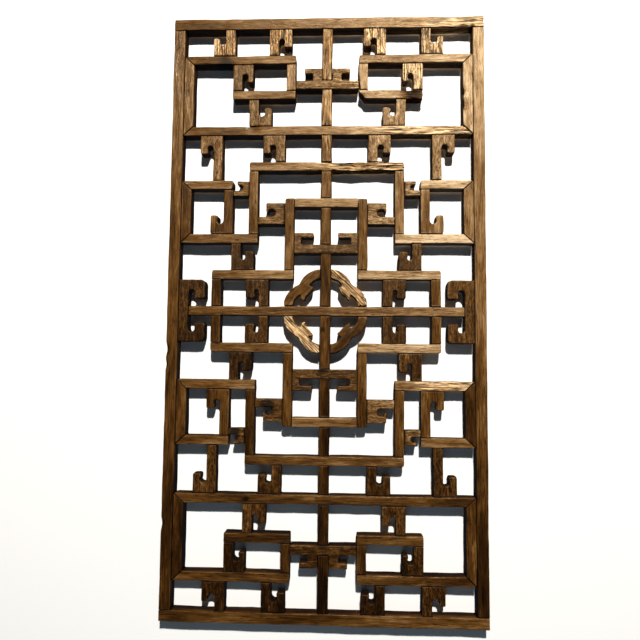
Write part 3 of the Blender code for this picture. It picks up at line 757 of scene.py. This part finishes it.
def weighted(tree, parts, start=0.0):
    """Adds up several values, each times its weight."""
    total = None
    for value, weight in parts:
        step = add_node(tree, "ShaderNodeMath", operation="MULTIPLY_ADD")
        step.inputs[1].default_value = weight
        tree.links.new(value, step.inputs[0])
        if total is None:
            step.inputs[2].default_value = start
        else:
            tree.links.new(total, step.inputs[2])
        total = step.outputs["Value"]
    return total


def ramp(tree, value, stops):
    """A colour ramp through the given stops."""
    node = add_node(tree, "ShaderNodeValToRGB")
    ends = node.color_ramp.elements
    while len(ends) < len(stops):
        ends.new(0.5)
    for element, (place, colour) in zip(ends, stops):
        element.position = place
        element.color = (*colour, 1.0)
    tree.links.new(value, node.inputs["Fac"])
    return node.outputs["Color"]


def make_wood(name, figure, mottling, blotches, flecking, fleck_share, roughness):
    """Old lacquered wood with open grain: honey where it is rubbed or carries a painted highlight, dark in
    the pores and at the joints, and with the painted shade of its tone.
    """
    wood = bpy.data.materials.new(name)
    wood.use_nodes = True
    tree = wood.node_tree
    shader = tree.nodes["Principled BSDF"]
    grain = add_node(tree, "ShaderNodeAttribute", attribute_name="grain").outputs["Vector"]
    tone = add_node(tree, "ShaderNodeAttribute", attribute_name="tone").outputs["Fac"]
    rub_and_highlight = add_node(tree, "ShaderNodeAttribute", attribute_name="rub_and_highlight").outputs["Fac"]
    seam = add_node(tree, "ShaderNodeAttribute", attribute_name="seam").outputs["Fac"]
    old = add_node(tree, "ShaderNodeAttribute", attribute_name="old").outputs["Fac"]
    broad = pattern(tree, grain, **BROAD)
    streaks = pattern(tree, grain, **STREAKS)
    mottle = pattern(tree, grain, (blotches[0], blotches[1], blotches[1]), **MOTTLE)
    flecks = pattern(tree, grain, (flecking[0], flecking[1], flecking[1]), FLECK_DETAIL)
    cracks = pattern(tree, grain, **CRACKS)
    start = MIDDLE_LIGHT - (figure + mottling + STREAK_WEIGHT) / 2
    light = weighted(tree, (
        (broad, figure), (streaks, STREAK_WEIGHT), (mottle, mottling),
        (tone, TONE_WEIGHT), (rub_and_highlight, RUB_AND_HIGHLIGHT_WEIGHT), (old, OLD_WEIGHT)), start=start)
    colour = ramp(tree, light, WOOD_COLOURS)
    pores = ramp(tree, flecks, (
        (0.00, PORE_DEEP), (fleck_share, PORE_RIM), (fleck_share + PORE_RIM_WIDTH, WHITE)))
    aged = add_node(tree, "ShaderNodeMix", data_type="RGBA")
    aged.inputs[MIX_FIRST].default_value = (*WHITE, 1.0)
    tree.links.new(old, aged.inputs["Factor"])
    tree.links.new(ramp(tree, cracks, CRACK_COLOURS), aged.inputs[MIX_SECOND])
    for shade in (pores, aged.outputs[MIX_RESULT], ramp(tree, seam, SEAM_COLOURS)):
        mix = add_node(tree, "ShaderNodeMix", data_type="RGBA", blend_type="MULTIPLY")
        mix.inputs["Factor"].default_value = 1.0
        tree.links.new(colour, mix.inputs[MIX_FIRST])
        tree.links.new(shade, mix.inputs[MIX_SECOND])
        colour = mix.outputs[MIX_RESULT]
    tree.links.new(colour, shader.inputs["Base Color"])
    rough = weighted(tree, (
        (mottle, ROUGH_MOTTLE), (streaks, ROUGH_STREAK), (flecks, ROUGH_FLECK),
        (seam, ROUGH_SEAM), (rub_and_highlight, ROUGH_RUB)), start=roughness)
    tree.links.new(rough, shader.inputs["Roughness"])
    ridges = add_node(tree, "ShaderNodeMath", operation="MULTIPLY")
    tree.links.new(cracks, ridges.inputs[0])
    tree.links.new(old, ridges.inputs[1])
    height = weighted(tree, (
        (streaks, STREAK_RELIEF), (mottle, MOTTLE_RELIEF), (flecks, FLECK_RELIEF),
        (ridges.outputs["Value"], RIDGE_RELIEF)))
    bump = add_node(tree, "ShaderNodeBump")
    bump.inputs["Strength"].default_value = BUMP_STRENGTH
    bump.inputs["Distance"].default_value = BUMP_DISTANCE
    tree.links.new(height, bump.inputs["Height"])
    tree.links.new(bump.outputs["Normal"], shader.inputs["Normal"])
    shader.inputs["Specular IOR Level"].default_value = SHINE
    shader.inputs["Specular Tint"].default_value = SHINE_TINT
    return wood


# Each wood's figure, mottling, and sizes of its blotches and flecks, then how many flecks and how rough it is
WOODS = {
    "frame_wood": make_wood("frame_wood", 0.34, 0.12, (24.0, 130.0), (60.0, 760.0), 0.08, 0.38),
    "bar_wood": make_wood("bar_wood", 0.36, 0.18, (36.0, 150.0), (80.0, 760.0), 0.12, 0.38),
    "scroll_wood": make_wood("scroll_wood", 0.28, 0.42, (110.0, 260.0), (210.0, 620.0), 0.28, 0.44),
    "ring_wood": make_wood("ring_wood", 0.30, 0.30, (70.0, 200.0), (120.0, 700.0), 0.18, 0.42),
}
FRAME_PIECES = ("top_rail", "bottom_rail", "left_stile", "right_stile")
SCROLL_KINDS = ("double_hook", "bracket", "head_crossbar", "inner_crossbar", "link_scroll", "bridge_scroll")


def wood_of(name, kind):
    """Which wood a piece is finished in."""
    if name in FRAME_PIECES:
        return "frame_wood"
    if kind == "ring_quarter":
        return "ring_wood"
    if kind in SCROLL_KINDS or kind.endswith("hook"):
        return "scroll_wood"
    return "bar_wood"


def finish_piece(number, joints, piece, node, name, kind, piece_grain, seed):
    """Wears a piece, gives it its wood and ties it to the frame."""
    wear(piece, number, joints, name, kind, piece_grain, seed)
    slot = wood_of(name, kind)
    piece.data.materials.append(WOODS[slot])
    piece.data.shade_smooth()
    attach(piece, "root")
    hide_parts(node)


def kind_of(name):
    """A whole piece's kind: its name without its side or level."""
    for word in ("upper_", "lower_", "left_", "right_"):
        if name.startswith(word):
            return name[len(word):]
    return name


def cut_whole_pieces():
    """The pieces that are one frame node each."""
    cut = []
    for seed, (name, piece_grain) in enumerate(WHOLE_PARTS.items()):
        piece = copy_of_node(name, name)
        cut.append((piece, name, name, kind_of(name), piece_grain, WHOLE_SEED + seed))
    return cut


def cut_arch_bars():
    """Each arch bar, and the two hooks between it and the cross rail."""
    cut = []
    for level, word in ((1, "upper"), (-1, "lower")):
        node = word + "_arch_bar"
        for seed, (kind, start, end, rise, top_edge, grain) in enumerate(ARCH_PARTS):
            name = word + "_" + kind
            piece = copy_of_node(node, name)
            levels = sorted((level * rise, level * top_edge))
            cut_out(piece, (start, -DEPTH, CENTRE_Z + levels[0]), (end, 0.0, CENTRE_Z + levels[1]))
            piece_kind = "arch_hook" if "hook" in kind else kind
            cut.append((piece, node, name, piece_kind, grain, ARCH_SEED + ARCH_SEED_STEP * level + seed))
    return cut


def cut_quarter(side, level, seed):
    """All the pieces of one quarter of the panel."""
    cut = []
    quarter = ("upper_" if level > 0 else "lower_") + ("right_" if side > 0 else "left_")
    for node_kind, parts in QUARTER_PARTS.items():
        node = quarter + node_kind
        for kind, start, end, rise, top_edge, grain in parts:
            seed += 1
            name = quarter + kind
            piece = copy_of_node(node, name)
            if len(parts) > 1:
                across = sorted((side * start, side * end))
                levels = sorted((level * rise, level * top_edge))
                low_corner = (across[0], -DEPTH, CENTRE_Z + levels[0])
                cut_out(piece, low_corner, (across[1], 0.0, CENTRE_Z + levels[1]))
            cut.append((piece, node, name, kind, grain, seed))
    return cut


def keep_light_off_wood(surface):
    """Keeps the glow of the bright backdrop or floor off the sides of the bars, so that these stay dark."""
    surface.visible_diffuse = False
    surface.visible_glossy = False


def make_paint(name, colour, roughness):
    """A plain matt paint."""
    paint = bpy.data.materials.new(name)
    paint.use_nodes = True
    shader = paint.node_tree.nodes["Principled BSDF"]
    shader.inputs["Base Color"].default_value = colour
    shader.inputs["Roughness"].default_value = roughness
    return paint


def make_stage():
    """A plain backdrop right behind the panel, seen through from behind, and a plain pale floor below it."""
    deselect()
    upright = (math.radians(90), 0.0, 0.0)
    bpy.ops.mesh.primitive_plane_add(size=STAGE, location=(0.0, BACKDROP_GAP, 0.0), rotation=upright)
    backdrop = bpy.context.object
    backdrop.name = "backdrop"
    paint = make_paint("backdrop_paint", *BACKDROP_PAINT)
    tree = paint.node_tree
    shader = tree.nodes["Principled BSDF"]
    see_through = add_node(tree, "ShaderNodeBsdfTransparent")
    side = add_node(tree, "ShaderNodeNewGeometry")
    mix = add_node(tree, "ShaderNodeMixShader")
    tree.links.new(side.outputs["Backfacing"], mix.inputs["Fac"])
    tree.links.new(shader.outputs["BSDF"], mix.inputs[1])
    tree.links.new(see_through.outputs["BSDF"], mix.inputs[2])
    tree.links.new(mix.outputs["Shader"], tree.nodes["Material Output"].inputs["Surface"])
    backdrop.data.materials.append(paint)
    backdrop.visible_shadow = False
    keep_light_off_wood(backdrop)
    bpy.ops.mesh.primitive_plane_add(size=STAGE, location=(0.0, 0.0, CENTRE_Z - FLOOR_DROP))
    floor = bpy.context.object
    floor.name = "floor"
    floor.data.materials.append(make_paint("floor_paint", *FLOOR_PAINT))
    keep_light_off_wood(floor)


def add_lamp(name, place, aim, size, power, colour):
    """An area lamp that points at a place."""
    lamp = bpy.data.lights.new(name, "AREA")
    lamp.shape = "DISK"
    lamp.size = size
    lamp.energy = power
    lamp.color = colour
    holder = bpy.data.objects.new(name, lamp)
    bpy.context.scene.collection.objects.link(holder)
    holder.location = place
    holder.rotation_euler = (Vector(aim) - Vector(place)).to_track_quat("-Z", "Y").to_euler()
    return holder


def make_light():
    """A lamp above and to the right, one for the back, a faint low one and soft light all round."""
    for name, *settings in LAMPS:
        lamp = add_lamp(name, *settings)
        lamp.visible_glossy = name == "key"
        lamp.visible_camera = name != "low"
    world = bpy.data.worlds.new("studio")
    bpy.context.scene.world = world
    world.use_nodes = True
    tree = world.node_tree
    light = tree.nodes["Background"]
    light.inputs["Color"].default_value = SKY_COLOUR
    light.inputs["Strength"].default_value = SKY_STRENGTH
    seen = add_node(tree, "ShaderNodeBackground")
    seen.inputs["Color"].default_value = BEYOND_COLOUR
    ray = add_node(tree, "ShaderNodeLightPath")
    mix = add_node(tree, "ShaderNodeMixShader")
    tree.links.new(ray.outputs["Is Camera Ray"], mix.inputs["Fac"])
    tree.links.new(light.outputs["Background"], mix.inputs[1])
    tree.links.new(seen.outputs["Background"], mix.inputs[2])
    tree.links.new(mix.outputs["Shader"], tree.nodes["World Output"].inputs["Surface"])
    bpy.context.scene.view_settings.view_transform = "Standard"


def make_camera():
    """The camera, placed as the photograph's was."""
    camera = bpy.data.cameras.new("camera")
    camera.lens = CAMERA_LENS
    camera.sensor_width = SENSOR_WIDTH
    holder = bpy.data.objects.new("camera", camera)
    bpy.context.scene.collection.objects.link(holder)
    holder.location = CAMERA_PLACE
    holder.rotation_euler = [math.radians(angle) for angle in CAMERA_TURN]
    bpy.context.scene.camera = holder


make_camera()
make_light()
make_stage()
parts = cut_whole_pieces() + cut_arch_bars()
for quarter_seed, (quarter_side, quarter_level) in enumerate(((1, 1), (-1, 1), (1, -1), (-1, -1))):
    parts += cut_quarter(quarter_side, quarter_level, QUARTER_SEED_STEP * (quarter_seed + 1))
for cut_piece, _, piece_name, *_ in parts:
    if piece_name in SLANTS:
        slant(cut_piece, *SLANTS[piece_name])
found_joints = find_joints([part[0] for part in parts])
for part_number, part in enumerate(parts):
    finish_piece(part_number, found_joints, *part)
bpy.data.objects.remove(guide)
